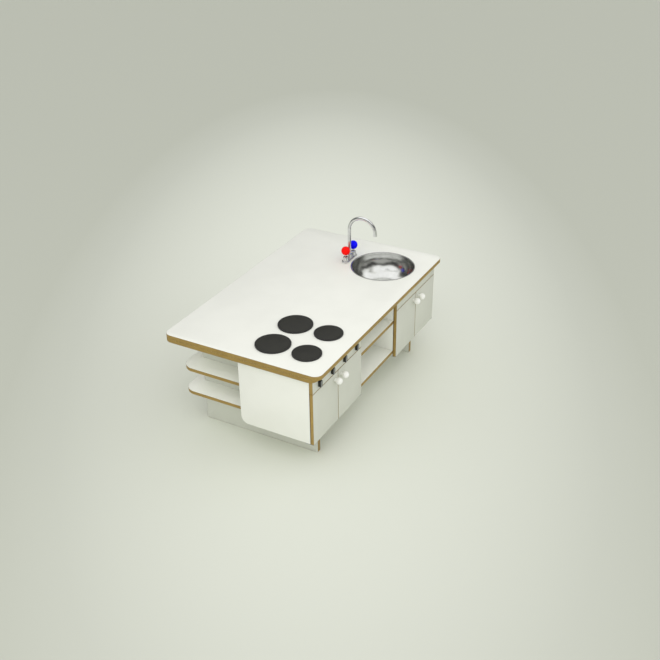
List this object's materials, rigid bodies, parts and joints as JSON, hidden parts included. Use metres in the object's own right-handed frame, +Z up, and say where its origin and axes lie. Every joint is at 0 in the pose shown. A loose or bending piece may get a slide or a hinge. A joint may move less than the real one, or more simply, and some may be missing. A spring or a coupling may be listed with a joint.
{
  "type": "toy kitchen",
  "caption": "Low play kitchen with a white worktop, round hotplates, round steel sink, swan-neck mixer tap, cabinets with ball-knob doors, an open bay and open rear shelves.",
  "frame": {"origin": "middle of the kitchen's footprint on the floor", "axes": "+X along the worktop from the hob end to the sink end, +Y from the doors to the rear shelves, +Z up"},
  "size_m": [1.2, 0.738, 0.7009],
  "materials": {
    "white_laminate_board": "white satin laminate on plywood with bare edges",
    "front_board": "white satin laminate on plywood with bare edges",
    "grey_laminate_board": "light grey laminate on plywood with bare edges",
    "plywood": "bare plywood, clear matt varnish",
    "white_knob": "smooth white",
    "hinge_steel": "zinc plated",
    "black_knob": "glossy black",
    "spindle_steel": "bright turned",
    "hotplate_rim": "satin black",
    "hotplate_face": "matt dark grey",
    "bowl_steel": "polished stainless steel",
    "tap_chrome": "mirror bright",
    "red_ball": "glossy red",
    "blue_ball": "glossy blue"
  },
  "bodies": {
    "frame": {"worktop": "white_laminate_board", "rear_shelf_upper": "white_laminate_board", "rear_shelf_lower": "white_laminate_board", "hob_side_outer": "white_laminate_board", "hob_side_inner": "white_laminate_board", "sink_side_inner": "white_laminate_board", "sink_side_outer": "white_laminate_board", "hob_bottom": "white_laminate_board", "hob_back": "white_laminate_board", "bay_bottom": "white_laminate_board", "bay_back": "white_laminate_board", "sink_bottom": "white_laminate_board", "sink_back": "white_laminate_board", "bay_shelf": "white_laminate_board", "worktop_under_board": "plywood", "leg_panel_hob_end": "grey_laminate_board", "leg_panel_sink_end": "grey_laminate_board", "hob_fascia": "front_board", "sink_fascia": "front_board", "hob_hinge_rod_left": "hinge_steel", "hob_hinge_rod_right": "hinge_steel", "hob_pivot_plate_left": "hinge_steel", "hob_pivot_plate_right": "hinge_steel", "sink_hinge_rod_left": "hinge_steel", "sink_hinge_rod_right": "hinge_steel", "sink_pivot_plate_left": "hinge_steel", "sink_pivot_plate_right": "hinge_steel", "hotplate_rear_outer": "hotplate_rim", "hotplate_rear_inner": "hotplate_rim", "hotplate_front_outer": "hotplate_rim", "hotplate_front_inner": "hotplate_rim", "hotplate_disc_rear_outer": "hotplate_face", "hotplate_disc_rear_inner": "hotplate_face", "hotplate_disc_front_outer": "hotplate_face", "hotplate_disc_front_inner": "hotplate_face", "sink_bowl": "bowl_steel", "tap_base": "tap_chrome"},
    "hob_door_left": {"hob_door_left": "front_board", "hob_door_knob_left": "white_knob"},
    "hob_door_right": {"hob_door_right": "front_board", "hob_door_knob_right": "white_knob"},
    "sink_door_left": {"sink_door_left": "front_board", "sink_door_knob_left": "white_knob"},
    "sink_door_right": {"sink_door_right": "front_board", "sink_door_knob_right": "white_knob"},
    "control_1": {"control_knob_1": "black_knob", "control_spindle_1": "spindle_steel"},
    "control_2": {"control_knob_2": "black_knob", "control_spindle_2": "spindle_steel"},
    "control_3": {"control_knob_3": "black_knob", "control_spindle_3": "spindle_steel"},
    "control_4": {"control_knob_4": "black_knob", "control_spindle_4": "spindle_steel"},
    "spout": {"tap_spout": "tap_chrome"},
    "handle_hot": {"tap_stem_hot": "tap_chrome", "tap_ball_hot": "red_ball"},
    "handle_cold": {"tap_stem_cold": "tap_chrome", "tap_ball_cold": "blue_ball"}
  },
  "joints": [
    {"name": "hob_door_left_hinge", "type": "hinge", "parent": "frame", "child": "hob_door_left", "pos_m": [-0.5835, -0.3235, 0.2585], "axis": [0, 0, -1], "range_deg": [0, 90]},
    {"name": "hob_door_right_hinge", "type": "hinge", "parent": "frame", "child": "hob_door_right", "pos_m": [-0.1775, -0.3235, 0.2585], "axis": [0, 0, 1], "range_deg": [0, 90]},
    {"name": "sink_door_left_hinge", "type": "hinge", "parent": "frame", "child": "sink_door_left", "pos_m": [0.1775, -0.3235, 0.2585], "axis": [0, 0, -1], "range_deg": [0, 90]},
    {"name": "sink_door_right_hinge", "type": "hinge", "parent": "frame", "child": "sink_door_right", "pos_m": [0.5835, -0.3235, 0.2585], "axis": [0, 0, 1], "range_deg": [0, 90]},
    {"name": "control_1_turn", "type": "hinge", "parent": "frame", "child": "control_1", "pos_m": [-0.53612, -0.3343, 0.4075], "axis": [0, 1, 0], "range_deg": [0, 270]},
    {"name": "control_2_turn", "type": "hinge", "parent": "frame", "child": "control_2", "pos_m": [-0.43238, -0.3343, 0.4075], "axis": [0, 1, 0], "range_deg": [0, 270]},
    {"name": "control_3_turn", "type": "hinge", "parent": "frame", "child": "control_3", "pos_m": [-0.32863, -0.3343, 0.4075], "axis": [0, 1, 0], "range_deg": [0, 270]},
    {"name": "control_4_turn", "type": "hinge", "parent": "frame", "child": "control_4", "pos_m": [-0.22487, -0.3343, 0.4075], "axis": [0, 1, 0], "range_deg": [0, 270]},
    {"name": "spout_swivel", "type": "hinge", "parent": "frame", "child": "spout", "pos_m": [0.377, 0.012, 0.49], "axis": [0, 0, 1], "range_deg": [-60, 60]},
    {"name": "handle_hot_turn", "type": "hinge", "parent": "frame", "child": "handle_hot", "pos_m": [0.3395, 0.012, 0.5], "axis": [0, 0, 1], "range_deg": [-90, 90]},
    {"name": "handle_cold_turn", "type": "hinge", "parent": "frame", "child": "handle_cold", "pos_m": [0.4145, 0.012, 0.5], "axis": [0, 0, 1], "range_deg": [-90, 90]}
  ]
}
